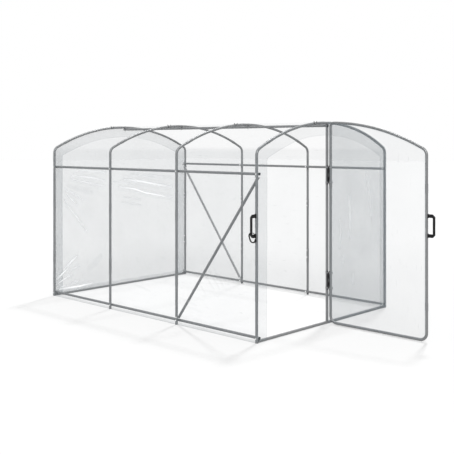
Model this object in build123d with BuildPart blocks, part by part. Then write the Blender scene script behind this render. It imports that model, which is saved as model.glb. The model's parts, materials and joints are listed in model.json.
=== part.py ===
from build123d import *
import os
from math import asin, atan2, cos, degrees, hypot, radians, sin, sqrt

# Polytunnel greenhouse: four tube hoops joined by rails, a clear film cover, and a film
# door on two hinges that stands open at a right angle. Millimetres, +Z up. The origin is
# the foot of the leg that the door shuts against, +X points out through the doorway and
# +Y runs across the tunnel.

# Tunnel
hoop_names = ("front", "second", "third", "back")
hoop_spacing = 1000.0
tunnel_width = 2000.0       # between the centre lines of the legs
ridge_height = 1888.0       # centre line of a hoop at its top
arch_radius = 2100.0
shoulder_radius = 70.0      # bend between a leg and the arch

# Tubes
hoop_tube = 25.0
bar_tube = 25.0
tube_wall = 1.0
socket_play = 0.1           # radial, a plain tube end in a socket
socket_wall = 1.2
socket_step = 3.0           # length of the shoulder where a tube widens to its socket
end_gap = 5.0               # a plain end stops this far short of the socket's bottom
seat_gap = 0.3              # between pieces that rest on each other

# Where the hoop tubes are joined
lower_socket = (361.0, 516.0)       # heights of mouth and bottom
upper_socket = (979.0, 1074.0)
bow_socket = (870.0, 800.0)         # distances from the tunnel's middle
apex_socket = (210.0, 50.0)

# Rails and braces
sill_ground_gap = 1.0
purlin_drop = 157.0         # below the shoulder bend
rail_overhang = 11.0        # past the centre line of an end hoop
brace_low_step = 24.0       # lower end of a brace, above the base rail
brace_high_step = 30.0      # upper end of a brace, below the purlin
brace_set_in = 4.0          # ends of a brace, from the centre line of its hoop

# Film
film_thickness = 1.0
film_hem_height = 2.0
film_joint_drop = 42.0      # the side film meets the roof film this far below the shoulder
panel_lap = 3.0             # fixed panel, past the middle of the door post
panel_notch = 16.0          # clear of a hinge, from the middle of the door post
panel_notch_room = 6.0

# Door
door_stand_off = 34.0       # shut, centre line in front of the hoop
door_ground_gap = 6.0
door_top_corner = 35.0
door_bottom_corner = 65.0
door_lower_socket = (270.0, 340.0)
door_upper_socket = (1270.0, 1350.0)

# Hinges
pin_forward = 22.0          # from the middle of the door post
pin_aside = 8.0             # towards the doorway
stile_aside = 18.0          # shut, from the pin to the hinge stile along the door
hinge_centres = (410.0, 1400.0)
hinge_plate_height = 180.0
hinge_barrel_height = 100.0
hinge_plate = 2.0
hinge_plate_reach = 45.0    # half angle that a plate wraps round its tube
hinge_web = 3.0
pin_radius = 2.5
pin_play = 0.08
knuckle_radius = 5.0
knuckle_gap = 0.5

# Handles
handle_centre = 995.5
handle_height = 199.0
handle_projection = 79.0    # from the centre line of its tube
handle_width = 15.0         # across its tube
handle_arm = 30.0           # height of each arm
handle_grip = 20.0          # thickness of the part that is held
handle_corner = 22.0        # how much of each outer corner is cut off
handle_corner_bend = 8.0
handle_window_bend = 6.0
handle_edge = 4.0           # rounding along its two sides
handle_film_hole = 1.0      # round an arm that passes through the film

# Snap hook on the frame handle
hook_wire = 5.5
hook_length = 94.0
hook_width = 56.0
hook_back = 9.6             # its middle, behind the plane of the hoop
hook_aside = 41.2           # from the centre line of the leg
hook_drop = 13.0            # below the centre line of the handle's lower arm
hook_slope = 69.5           # how far its long axis hangs below level, towards the leg
hook_twist = 35.4           # about its long axis

# Worked out from the sizes above
near_y = 0.0
far_y = tunnel_width
mid_y = tunnel_width / 2
half = tunnel_width / 2
hoop_x = [-hoop_spacing * i for i in range(len(hoop_names))]
back_x = hoop_x[-1]
tube_r = hoop_tube / 2
bar_r = bar_tube / 2
socket_bore = tube_r + socket_play
socket_r = socket_bore + socket_wall
arch_z = ridge_height - arch_radius
door_width = half           # between the centre lines of its stiles
sill_height = sill_ground_gap + bar_r
base_rail_height = sill_height + bar_tube + seat_gap   # over the sills
film_in = socket_r + seat_gap
film_out = film_in + film_thickness
rail_inset = tube_r + bar_r + seat_gap
pin_x = pin_forward
pin_y = mid_y - pin_aside
door_x = pin_x + stile_aside
door_y = pin_y + door_stand_off - pin_forward
door_bar_z = door_ground_gap + tube_r


# Tubes as rings, run straight or round a bend -----------------------------------------
def ring(plane, outer, inner):
    with BuildSketch(plane) as section:
        Circle(outer)
        if inner > 0:
            Circle(inner, mode=Mode.SUBTRACT)
    return section.sketch


def run(start, end, outer=tube_r, inner=tube_r - tube_wall):
    """A straight length of tube, added to the part being built."""
    start, end = Vector(*start), Vector(*end)
    section = ring(Plane(origin=start, z_dir=end - start), outer, inner)
    extrude(section, amount=(end - start).length)


def bend(centre, side, radius, start, end, outer=tube_r, inner=tube_r - tube_wall, up=(0, 0, 1)):
    """An arc of tube round centre, between angles measured from up towards side."""
    centre, side, up = Vector(*centre), Vector(*side), Vector(*up)
    start_point = centre + (up * cos(radians(start)) + side * sin(radians(start))) * radius
    tangent = side * cos(radians(start)) - up * sin(radians(start))
    section = ring(Plane(origin=start_point, z_dir=tangent), outer, inner)
    revolve(section, axis=Axis(centre, up.cross(side)), revolution_arc=end - start)


# Straight tubes with a socket at one end -----------------------------------------------
def socketed_run(x, y, mouth, bottom, top):
    """An upright tube that is widened from its mouth up to the socket's bottom."""
    run((x, y, mouth), (x, y, bottom), socket_r, socket_bore)
    run((x, y, bottom), (x, y, bottom + socket_step), socket_r, tube_r - tube_wall)
    run((x, y, bottom + socket_step), (x, y, top))


# Shape of a hoop: upright legs, a shoulder bend each side and one wide arch ------------
shoulder_turn = degrees(asin((half - shoulder_radius) / (arch_radius - shoulder_radius)))
shoulder_z = arch_z + (arch_radius - shoulder_radius) * cos(radians(shoulder_turn))
purlin_height = shoulder_z - purlin_drop
film_joint_height = shoulder_z - film_joint_drop


def arch_angle(across):
    """Angle of a point on the arch, by its distance from the tunnel's middle."""
    return degrees(asin(across / arch_radius))


def make_legs(name, x):
    plain_top = lower_socket[1] - end_gap
    with BuildPart() as lower:
        for y in (near_y, far_y):
            run((x, y, 0), (x, y, plain_top))
    lower.part.label = f"{name}_hoop_lower_legs"
    with BuildPart() as middle:
        for y in (near_y, far_y):
            socketed_run(x, y, *lower_socket, upper_socket[1] - end_gap)
    middle.part.label = f"{name}_hoop_middle_legs"
    return [lower.part, middle.part]


def make_shoulders(name, x):
    arch_end = arch_angle(bow_socket[1] + end_gap)
    with BuildPart() as shoulders:
        for leg_y, side in ((near_y, -1), (far_y, 1)):
            across = (0, side, 0)
            socketed_run(x, leg_y, *upper_socket, shoulder_z)
            bend_centre = (x, leg_y - side * shoulder_radius, shoulder_z)
            bend(bend_centre, across, shoulder_radius, 90, shoulder_turn)
            bend((x, mid_y, arch_z), across, arch_radius, shoulder_turn, arch_end)
    shoulders.part.label = f"{name}_hoop_shoulders"
    return shoulders.part


def make_bows(name, x):
    """Two bent tubes: the far one runs past the top and holds the near one's end."""
    centre = (x, mid_y, arch_z)
    step = degrees(socket_step / arch_radius)
    mouth, bottom = arch_angle(bow_socket[0]), arch_angle(bow_socket[1])
    apex_mouth, apex_bottom = arch_angle(apex_socket[0]), arch_angle(apex_socket[1])
    plain_end = arch_angle(apex_socket[1] + end_gap)
    with BuildPart() as bows:
        for side, end in ((-1, plain_end), (1, step - apex_bottom)):
            across = (0, side, 0)
            bend(centre, across, arch_radius, end, bottom - step)
            bend(centre, across, arch_radius, bottom - step, bottom, socket_r)
            bend(centre, across, arch_radius, bottom, mouth, socket_r, socket_bore)
        bend(centre, across, arch_radius, -apex_bottom, step - apex_bottom, socket_r)
        bend(centre, across, arch_radius, -apex_mouth, -apex_bottom, socket_r, socket_bore)
    bows.part.label = f"{name}_hoop_bows"
    return bows.part


# Rails, sills, braces and the door post ------------------------------------------------
def make_bar(label, start, end, radius=bar_r):
    with BuildPart() as bar:
        run(start, end, radius, radius - tube_wall)
    bar.part.label = label
    return bar.part


def make_rails():
    ends = (back_x - rail_overhang, hoop_x[0] + rail_overhang)
    ridge_z = ridge_height - rail_inset
    lines = [("ridge_bar", mid_y, ridge_z)]
    for side, y in (("near", near_y + rail_inset), ("far", far_y - rail_inset)):
        lines.append((f"{side}_base_rail", y, base_rail_height))
        lines.append((f"{side}_purlin", y, purlin_height))
    return [make_bar(label, (ends[0], y, z), (ends[1], y, z)) for label, y, z in lines]


def make_sills():
    start, end = near_y + tube_r + seat_gap, far_y - tube_r - seat_gap
    sills = (("front_sill", hoop_x[0]), ("back_sill", back_x))
    return [make_bar(label, (x, start, sill_height), (x, end, sill_height)) for label, x in sills]


def make_braces():
    near = near_y + rail_inset
    far = far_y - rail_inset
    brace_low = base_rail_height + brace_low_step
    brace_high = purlin_height - brace_high_step
    front_low = (hoop_x[1] + brace_set_in, near, brace_low)
    front_high = (hoop_x[0] - brace_set_in, near, brace_high)
    back_high = (back_x + brace_set_in, far, brace_high)
    back_low = (hoop_x[-2] - brace_set_in, far, brace_low)
    near_brace = make_bar("near_brace", front_low, front_high)
    return [near_brace, make_bar("far_brace", back_high, back_low)]


def make_door_post():
    foot = sill_height + bar_r + seat_gap
    top = ridge_height - rail_inset - bar_r - seat_gap
    return make_bar("door_post", (hoop_x[0], mid_y, foot), (hoop_x[0], mid_y, top), tube_r)


# Film cover ----------------------------------------------------------------------------
def gable(plane, outward, foot):
    """The face inside a hoop's outline, moved outward by the given distance."""
    across, top = half + outward, arch_radius + outward
    corner = shoulder_radius + outward
    inset = half - shoulder_radius
    turn = shoulder_turn
    with BuildSketch(plane) as face:
        with BuildLine():
            Line((mid_y - across, foot), (mid_y - across, shoulder_z))
            CenterArc((mid_y - inset, shoulder_z), corner, 180, turn - 90)
            CenterArc((mid_y, arch_z), top, 90 + turn, -2 * turn)
            CenterArc((mid_y + inset, shoulder_z), corner, 90 - turn, turn - 90)
            Line((mid_y + across, shoulder_z), (mid_y + across, foot))
            Line((mid_y + across, foot), (mid_y - across, foot))
        make_face()
    return face.sketch


cover_start = back_x - film_out
cover_length = hoop_x[0] + tube_r - cover_start


def make_roof_film():
    plane = Plane.YZ.offset(cover_start)
    with BuildPart() as roof:
        extrude(gable(plane, film_out, film_joint_height), amount=cover_length)
        extrude(gable(plane, film_in, film_joint_height), amount=cover_length, mode=Mode.SUBTRACT)
    roof.part.label = "roof_film"
    return roof.part


def make_side_film(label, y, side):
    middle = (film_in + film_out) / 2
    height = film_joint_height - film_hem_height
    with BuildPart() as film:
        with BuildSketch(Plane.XY.offset(film_hem_height)):
            with Locations((cover_start + cover_length / 2, y + side * middle)):
                Rectangle(cover_length, film_thickness)
        extrude(amount=height)
        if side < 0:
            hole = 2 * handle_film_hole
            for z in handle_arm_centres:
                with Locations((hoop_x[0], y + side * middle, z)):
                    Box(handle_width + hole, 2 * film_thickness, handle_arm + hole, mode=Mode.SUBTRACT)
    film.part.label = label
    return film.part


def make_back_film():
    with BuildPart() as film:
        extrude(gable(Plane.YZ.offset(back_x - film_out), socket_r, film_hem_height), amount=film_thickness)
    film.part.label = "back_film"
    return film.part


def make_front_film():
    """The fixed half of the front, from the door post to the far leg."""
    plane = Plane.YZ.offset(hoop_x[0] + film_in)
    edge = mid_y - panel_lap
    with BuildPart() as film:
        extrude(gable(plane, socket_r, film_hem_height), amount=film_thickness)
        with BuildSketch(plane):
            with Locations((edge - tunnel_width / 2, ridge_height / 2)):
                Rectangle(tunnel_width, 2 * ridge_height)
            for z in hinge_centres:
                with Locations((mid_y, z)):
                    Rectangle(2 * panel_notch, hinge_plate_height + 2 * panel_notch_room)
        extrude(amount=film_thickness, mode=Mode.SUBTRACT)
    film.part.label = "front_film"
    return film.part


# Door leaf, standing open along +X -----------------------------------------------------
along = (1, 0, 0)
door_free_x = door_x + door_width
door_shoulder_turn = degrees(asin((door_width - shoulder_radius) / (arch_radius - shoulder_radius)))
door_shoulder_z = arch_z + (arch_radius - shoulder_radius) * cos(radians(door_shoulder_turn))
door_corner_turn = degrees(asin(door_top_corner / (arch_radius - door_top_corner)))
door_corner_z = arch_z + (arch_radius - door_top_corner) * cos(radians(door_corner_turn))
door_bottom_bend_z = door_bar_z + door_bottom_corner


def make_door_top_bow():
    """Both upper ends of the stiles and the arch between them, in one bent tube."""
    with BuildPart() as bow:
        socketed_run(door_x, door_y, *door_upper_socket, door_corner_z)
        corner = (door_x + door_top_corner, door_y, door_corner_z)
        bend(corner, along, door_top_corner, -90, door_corner_turn)
        arch = (door_x, door_y, arch_z)
        bend(arch, along, arch_radius, door_shoulder_turn, door_corner_turn)
        shoulder = (door_free_x - shoulder_radius, door_y, door_shoulder_z)
        bend(shoulder, along, shoulder_radius, door_shoulder_turn, 90)
        socketed_run(door_free_x, door_y, *door_upper_socket, door_shoulder_z)
    bow.part.label = "door_top_bow"
    return bow.part


def make_door_stile(label, x):
    top = door_upper_socket[1] - end_gap
    with BuildPart() as stile:
        socketed_run(x, door_y, *door_lower_socket, top)
    stile.part.label = label
    return stile.part


def make_door_bottom_bow():
    top = door_lower_socket[1] - end_gap
    low = (door_x + door_bottom_corner, door_y, door_bottom_bend_z)
    high = (door_free_x - door_bottom_corner, door_y, door_bottom_bend_z)
    with BuildPart() as bow:
        run((door_x, door_y, door_bottom_bend_z), (door_x, door_y, top))
        bend(low, along, door_bottom_corner, 180, 270)
        run((low[0], door_y, door_bar_z), (high[0], door_y, door_bar_z))
        bend(high, along, door_bottom_corner, 90, 180)
        run((door_free_x, door_y, door_bottom_bend_z), (door_free_x, door_y, top))
    bow.part.label = "door_bottom_bow"
    return bow.part


def make_door_film():
    """A flat sheet over the inner side of the leaf, out to the centre lines of its tubes."""
    plane = Plane(origin=(door_x, door_y - film_in, 0), x_dir=(1, 0, 0), z_dir=(0, -1, 0))
    top_turn, turn = door_corner_turn, door_shoulder_turn
    bottom, width = door_bottom_corner, door_width
    with BuildPart() as film:
        with BuildSketch(plane):
            with BuildLine():
                Line((0, door_bottom_bend_z), (0, door_corner_z))
                CenterArc((door_top_corner, door_corner_z), door_top_corner, 180, -90 - top_turn)
                CenterArc((0, arch_z), arch_radius, 90 - top_turn, top_turn - turn)
                CenterArc((width - shoulder_radius, door_shoulder_z), shoulder_radius, 90 - turn, turn - 90)
                Line((width, door_shoulder_z), (width, door_bottom_bend_z))
                CenterArc((width - bottom, door_bottom_bend_z), bottom, 0, -90)
                Line((width - bottom, door_bar_z), (bottom, door_bar_z))
                CenterArc((bottom, door_bottom_bend_z), bottom, 270, -90)
            make_face()
        extrude(amount=film_thickness)
    film.part.label = "door_film"
    return film.part


# Hinges: a plate that wraps each tube, joined by a web to its knuckles -----------------
def hinge_half(plane, reach, plate_inner, levels, bore, height):
    """One half of a hinge: plane stands at the plate's foot with x towards the pin."""
    plate_outer = plate_inner + hinge_plate
    spread = plate_outer * 2
    with BuildSketch(plane) as plate:
        Circle(plate_outer)
        Circle(plate_inner, mode=Mode.SUBTRACT)
        with BuildLine():
            slope = radians(hinge_plate_reach)
            Polyline(
                (0, 0),
                (spread * cos(slope), spread * sin(slope)),
                (spread * cos(slope), -spread * sin(slope)),
                close=True,
            )
        make_face(mode=Mode.INTERSECT)
    extrude(plate.sketch, amount=height)
    for start, length in levels:
        with BuildSketch(plane.offset(start)) as knuckle:
            web = (plate_inner + hinge_plate / 2, reach)
            with Locations(((web[0] + web[1]) / 2, 0)):
                Rectangle(web[1] - web[0], hinge_web)
            with Locations((reach, 0)):
                Circle(knuckle_radius)
                if bore > 0:
                    Circle(bore, mode=Mode.SUBTRACT)
        extrude(knuckle.sketch, amount=length)


def facing_pin(x, y, z):
    towards = (pin_x - x, pin_y - y, 0)
    return Plane(origin=(x, y, z), x_dir=towards, z_dir=(0, 0, 1)), hypot(*towards)


def make_hinge(name, centre):
    foot = centre - hinge_plate_height / 2
    barrel_foot = (hinge_plate_height - hinge_barrel_height) / 2
    third = hinge_barrel_height / 3
    with BuildPart() as post_half:
        plane, reach = facing_pin(hoop_x[0], mid_y, foot)
        levels = [(barrel_foot + third + knuckle_gap, third - 2 * knuckle_gap)]
        hinge_half(plane, reach, tube_r + seat_gap, levels, pin_radius + pin_play, hinge_plate_height)
    post_half.part.label = f"{name}_hinge_post_half"
    with BuildPart() as door_half:
        plane, reach = facing_pin(door_x, door_y, foot)
        levels = [(barrel_foot, third), (barrel_foot + 2 * third, third)]
        hinge_half(plane, reach, socket_r + seat_gap, levels, 0, hinge_plate_height)
        pin_foot = foot + barrel_foot
        run((pin_x, pin_y, pin_foot), (pin_x, pin_y, pin_foot + hinge_barrel_height), pin_radius, 0)
    door_half.part.label = f"{name}_hinge_door_half"
    return [post_half.part, door_half.part]


# Handles and the snap hook -------------------------------------------------------------
handle_foot = handle_centre - handle_height / 2
handle_top = handle_centre + handle_height / 2
handle_arm_centres = (handle_foot + handle_arm / 2, handle_top - handle_arm / 2)


def make_handle(label, x, y, out, widest):
    """A moulded pull handle, pointing along out from an upright tube of that widest radius."""
    out = Vector(*out)
    side = out.cross(Vector(0, 0, 1))
    plane = Plane(origin=(x, y, handle_centre), x_dir=out, z_dir=side)
    start, reach, top = widest + seat_gap, handle_projection, handle_height / 2
    outline = [(start, -top), (reach - handle_corner, -top), (reach, handle_corner - top)]
    outline += [(reach, top - handle_corner), (reach - handle_corner, top), (start, top)]
    window_end = reach - handle_grip
    with BuildPart() as handle:
        with BuildSketch(plane) as profile:
            with BuildLine():
                FilletPolyline(*outline, radius=handle_corner_bend)
                Line(outline[-1], outline[0])
            make_face()
            with Locations((window_end / 2, 0)):
                window = (window_end, handle_height - 2 * handle_arm)
                RectangleRounded(*window, handle_window_bend, mode=Mode.SUBTRACT)
        extrude(profile.sketch, amount=handle_width / 2, both=True)
        flanks = [face for face in handle.faces() if abs(face.normal_at().dot(side)) > 0.99]
        edges = [edge for face in flanks for edge in face.edges()]
        foot = Vector(x, y, handle_centre).dot(out) + start
        fillet([edge for edge in edges if edge.center().dot(out) > foot + seat_gap], handle_edge)
    handle.part.label = label
    return handle.part


def make_snap_hook():
    """An oblong ring round the lower corner of the frame handle, hanging against the leg."""
    slope, twist = radians(hook_slope), radians(hook_twist)
    length = Vector(0, cos(slope), -sin(slope))
    width = Vector(cos(twist), sin(slope) * sin(twist), cos(slope) * sin(twist))
    low = handle_arm_centres[0]
    centre = Vector(hoop_x[0] - hook_back, near_y - hook_aside, low - hook_drop)
    wire = hook_wire / 2
    bend_r = hook_width / 2 - wire
    end = length * (hook_length - hook_width) / 2
    with BuildPart() as hook:
        bend(centre + end, width, bend_r, -90, 90, wire, 0, length)
        bend(centre - end, width, bend_r, 90, 270, wire, 0, length)
        for side in (-1, 1):
            offset = width * side * bend_r
            run(centre + offset - end, centre + offset + end, wire, 0)
    hook.part.label = "snap_hook"
    return hook.part


# The whole tunnel ----------------------------------------------------------------------
pieces = []
for hoop_name, x in zip(hoop_names, hoop_x):
    pieces += make_legs(hoop_name, x)
    pieces.append(make_shoulders(hoop_name, x))
    pieces.append(make_bows(hoop_name, x))
pieces += make_rails() + make_sills() + make_braces()
pieces.append(make_door_post())
pieces.append(make_roof_film())
pieces.append(make_side_film("near_side_film", near_y, -1))
pieces.append(make_side_film("far_side_film", far_y, 1))
pieces += [make_back_film(), make_front_film()]
pieces += [make_door_top_bow(), make_door_bottom_bow(), make_door_film()]
pieces.append(make_door_stile("door_hinge_stile", door_x))
pieces.append(make_door_stile("door_free_stile", door_free_x))
for hinge_name, hinge_centre in zip(("lower", "upper"), hinge_centres):
    pieces += make_hinge(hinge_name, hinge_centre)
pieces.append(make_handle("frame_handle", hoop_x[0], near_y, (0, -1, 0), socket_r))
pieces.append(make_handle("door_handle", door_free_x, door_y, along, tube_r))
pieces.append(make_snap_hook())

os.makedirs("parts", exist_ok=True)
for piece in pieces:
    export_step(piece, f"parts/{piece.label}.step")
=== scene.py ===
"""Dresses a hooped tube greenhouse: film cover, galvanised finish, fasteners and a stage."""

import json
from math import asin, cos, hypot, pi, radians, sin, sqrt

import bmesh
import bpy
import numpy as np
from bpy.props import FloatProperty, FloatVectorProperty, IntProperty, PointerProperty
from bpy.types import Operator, Panel, PropertyGroup
from mathutils import Matrix, Vector, noise


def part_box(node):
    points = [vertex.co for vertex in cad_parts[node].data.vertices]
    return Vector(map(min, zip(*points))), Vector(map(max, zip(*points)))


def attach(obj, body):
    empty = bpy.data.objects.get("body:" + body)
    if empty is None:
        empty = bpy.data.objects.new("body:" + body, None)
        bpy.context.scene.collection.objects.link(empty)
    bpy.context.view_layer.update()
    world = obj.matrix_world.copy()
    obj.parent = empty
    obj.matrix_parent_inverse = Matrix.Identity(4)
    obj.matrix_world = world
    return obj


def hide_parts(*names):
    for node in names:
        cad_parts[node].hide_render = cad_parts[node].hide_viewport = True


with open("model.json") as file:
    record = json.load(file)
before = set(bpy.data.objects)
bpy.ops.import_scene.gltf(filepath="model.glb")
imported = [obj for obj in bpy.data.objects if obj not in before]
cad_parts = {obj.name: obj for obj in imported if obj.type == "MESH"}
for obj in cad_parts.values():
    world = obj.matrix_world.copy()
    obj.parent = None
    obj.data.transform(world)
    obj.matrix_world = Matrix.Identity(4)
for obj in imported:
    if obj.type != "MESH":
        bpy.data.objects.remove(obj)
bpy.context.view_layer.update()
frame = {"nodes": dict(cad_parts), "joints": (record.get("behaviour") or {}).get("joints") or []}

bl_info = {
    "name": "Polytunnel Greenhouse",
    "version": (1, 0, 0),
    "blender": (4, 5, 0),
    "location": "3D View > Sidebar > Greenhouse",
    "description": "Film, finishes and fasteners for a hooped tube greenhouse",
    "category": "Object",
}

HOOPS = ("front", "second", "third", "back")
FRAME_BODY = "frame"
DOOR_BODY = "door"

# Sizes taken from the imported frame
leg_low, leg_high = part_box("front_hoop_lower_legs")
tube_radius = (leg_high.x - leg_low.x) / 2
near_y = leg_low.y + tube_radius
far_y = leg_high.y - tube_radius
mid_y = (near_y + far_y) / 2
socket_low, socket_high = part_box("front_hoop_middle_legs")
socket_radius = (socket_high.x - socket_low.x) / 2
hoop_x = [sum((corner.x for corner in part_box(f"{name}_hoop_bows"))) / 2 for name in HOOPS]
purlin_low, purlin_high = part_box("near_purlin")
base_low, base_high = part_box("near_base_rail")
bar_radius = (base_high.z - base_low.z) / 2
seat_gap = base_low.y - near_y - tube_radius
ridge_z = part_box("ridge_bar")[1].z + seat_gap + tube_radius
leaf_low, leaf_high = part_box("door_film")


# === User sizes and colours
def length(name, text, default, **more):
    return FloatProperty(name=name, description=text, default=default, unit="LENGTH", **more)


def amount(name, text, default, low, high, **more):
    return FloatProperty(name=name, description=text, default=default, min=low, max=high, **more)


def tint(name, text, default):
    return FloatVectorProperty(
        name=name, description=text, default=default, min=0, max=1, size=3, subtype="COLOR")


class HoopSettings(PropertyGroup):
    arch_radius: length("Arch radius", "Centre line radius of the wide arch", 2.1)
    shoulder_radius: length("Shoulder radius", "Bend between a leg and the arch", 0.07)


class FilmSettings(PropertyGroup):
    colour: tint("Film colour", "Tint of the film", (0.225, 0.262, 0.285))
    # Painted highlight of the folds: a near white colour and a glow of the film's own, though it
    # is no lamp
    fold_highlight_colour: tint("Fold colour", "Colour where a fold catches the light", (0.97, 0.975, 0.975))
    fold_highlight_glow: amount("Fold glow", "Extra brightness of a fold that catches the light", 0.45, 0, 3)
    opacity: amount("Opacity", "How much one layer of film hides", 0.14, 0.02, 1, subtype="FACTOR")
    stand_off: length("Stand-off", "From a hoop's centre line to the film over it", 0.0146)
    grid: length("Cover grid", "Spacing of the cover's mesh", 0.0155)
    fine_grid: length("Panel grid", "Spacing of the end panels' mesh", 0.0078)
    sag: length("Sag", "How far the film dips between two hoops", 0.006)
    ripple: length("Ripple", "Height of the slack ripples", 0.0022)
    flap_width: length("Flap width", "Cover folded round an end hoop", 0.118)
    hem_height: length("Hem height", "Foot of the film above the ground", 0.003)


class TubeSettings(PropertyGroup):
    colour: tint("Zinc colour", "Galvanised tube", (0.207, 0.211, 0.215))
    metallic: amount("Metallic", "Share of metal in the zinc coat", 0.4, 0, 1, subtype="FACTOR")
    spangle: length("Spangle size", "Width of a zinc crystal", 0.006)


class FastenerSettings(PropertyGroup):
    shank_radius: length("Bolt radius", "Radius of a through bolt", 0.003)
    head_radius: length("Head radius", "Corner radius of a hexagon head", 0.0056)
    washer_radius: length("Washer radius", "Radius of a plain washer", 0.0072)
    seed: IntProperty(
        name="Seed", description="Turns each bolt head a little differently", default=7)


class HookSettings(PropertyGroup):
    centre: FloatVectorProperty(
        name="Hook centre", description="Middle of the hook's ring", size=3,
        default=(-0.0096, -0.0412, 0.898), subtype="TRANSLATION", unit="LENGTH", precision=4)
    length: length("Hook length", "Over the outside of the wire", 0.094)
    width: length("Hook width", "Over the outside of the wire", 0.056)
    wire_radius: length("Wire radius", "Radius of the hook's wire", 0.00275, precision=5)
    slope: FloatProperty(
        name="Hook slope", description="Degrees that its long axis hangs below level",
        default=69.5)
    twist: FloatProperty(
        name="Hook twist", description="Degrees that it is turned about its long axis",
        default=35.4)
    sleeve: FloatVectorProperty(
        name="Sleeve ends", description="Shares of the way round, where the sleeve runs",
        size=2, default=(0.31, 0.79))
    sleeve_radius: length("Sleeve radius", "Radius of the plastic sleeve", 0.0062, precision=5)
    block: FloatVectorProperty(
        name="Block ends", description="Shares of the way round, where the gate's block is",
        size=2, default=(0.15, 0.29))
    block_radius: length("Block radius", "Radius of the gate's block", 0.0100, precision=5)


class StageSettings(PropertyGroup):
    high_light: amount("High light", "Strength of the light from above and behind", 1.9, 0, 10)
    front_light: amount("Front light", "Strength of the soft light from the front", 2.4, 0, 10)
    sky: amount("Surrounding light", "Strength of the even light around", 0.75, 0, 2)
    # Painted light on the floor under the film, which takes away the film's shadow there
    painted_light_under_film: amount(
        "Covered glow", "More of the floor's own light under the film", 0.13, 0, 2)
    floor_glow: amount("Floor glow", "Light that the floor gives off by itself", 0.38, 0, 2)


# === Shape of a hoop
class HoopLine:
    """Centre line of a hoop, by the distance along it from the near foot."""

    def __init__(self, settings):
        self.arch = settings.arch_radius
        self.shoulder = settings.shoulder_radius
        self.half = (far_y - near_y) / 2
        self.arch_z = ridge_z - self.arch
        inset = self.half - self.shoulder
        self.turn = asin(inset / (self.arch - self.shoulder))
        self.shoulder_z = self.arch_z + (self.arch - self.shoulder) * cos(self.turn)
        self.bend_length = self.shoulder * (pi / 2 - self.turn)
        self.arch_length = 2 * self.arch * self.turn
        self.length = 2 * (self.shoulder_z + self.bend_length) + self.arch_length

    def at(self, along):
        """Point and outward normal, each as (y, z)."""
        if along > self.length / 2:
            point, normal = self.at(self.length - along)
            return (2 * mid_y - point[0], point[1]), (-normal[0], normal[1])
        if along <= self.shoulder_z:
            return (near_y, along), (-1.0, 0.0)
        along -= self.shoulder_z
        if along <= self.bend_length:
            angle = pi / 2 - along / self.shoulder
            centre = (near_y + self.shoulder, self.shoulder_z)
            radius = self.shoulder
        else:
            angle = self.turn - (along - self.bend_length) / self.arch
            centre = (mid_y, self.arch_z)
            radius = self.arch
        normal = (-sin(angle), cos(angle))
        return (centre[0] + radius * normal[0], centre[1] + radius * normal[1]), normal

    def flap(self, along, depth):
        """A point of a flap that lies inside the hoop, depth from its centre line."""
        if along > self.length / 2:
            y, z = self.flap(self.length - along, depth)
            return 2 * mid_y - y, z
        corner = max(self.shoulder - depth, 0.045)
        reach = self.arch - depth - corner
        centre_y = near_y + depth + corner
        turn = asin((mid_y - centre_y) / reach)
        centre_z = self.arch_z + reach * cos(turn)
        bend_end = self.shoulder_z + self.bend_length + self.arch * (self.turn - turn)
        if along <= centre_z:
            return near_y + depth, along
        if along < bend_end:
            share = (along - centre_z) / (bend_end - centre_z)
            angle = pi / 2 - share * (pi / 2 - turn)
            return centre_y - corner * sin(angle), centre_z + corner * cos(angle)
        angle = turn - (along - bend_end) / (self.length / 2 - bend_end) * turn
        radius = self.arch - depth
        return mid_y - radius * sin(angle), self.arch_z + radius * cos(angle)

    def top(self, across, outward=0.0):
        """Height of the outline, moved outward, above a point across the tunnel."""
        offset = min(abs(across - mid_y), self.half + outward)
        inset = self.half - self.shoulder
        radius = self.arch + outward
        if offset <= inset + (self.shoulder + outward) * sin(self.turn):
            return self.arch_z + sqrt(radius ** 2 - offset ** 2)
        corner = self.shoulder + outward
        return self.shoulder_z + sqrt(max(corner ** 2 - (offset - inset) ** 2, 0.0))


def steps(start, end, spacing):
    """Evenly spaced values from start to end, about spacing apart."""
    count = max(2, round(abs(end - start) / spacing) + 1)
    return np.linspace(start, end, count)


def smooth(value, low, high):
    share = np.clip((value - low) / (high - low), 0, 1)
    return share * share * (3 - 2 * share)


# === Objects and meshes
def add_object(name, data):
    piece = bpy.data.objects.new(name, data)
    bpy.context.scene.collection.objects.link(piece)
    return piece


def finish_mesh(bm, name, finish, body, sharp_angle=35.0):
    """Turns a bmesh into a smooth shaded object with crisp edges, carried by body."""
    bmesh.ops.remove_doubles(bm, verts=bm.verts, dist=1e-6)
    bmesh.ops.recalc_face_normals(bm, faces=bm.faces)
    mesh = bpy.data.meshes.new(name)
    bm.to_mesh(mesh)
    bm.free()
    piece = dress(add_object(name, mesh), finishes()[finish], sharp_angle)
    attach(piece, body)
    return piece


def dress(piece, material, sharp_angle=35.0):
    mesh = piece.data
    for polygon in mesh.polygons:
        polygon.use_smooth = True
    mesh.set_sharp_from_angle(angle=radians(sharp_angle))
    mesh.materials.clear()
    mesh.materials.append(material)
    return piece


def skin(bm, rings):
    """Joins each ring of corners to the next one with four-sided faces."""
    for low, high in zip(rings, rings[1:]):
        for k in range(len(low)):
            j = (k + 1) % len(low)
            bm.faces.new((low[k], low[j], high[j], high[k]))


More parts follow.
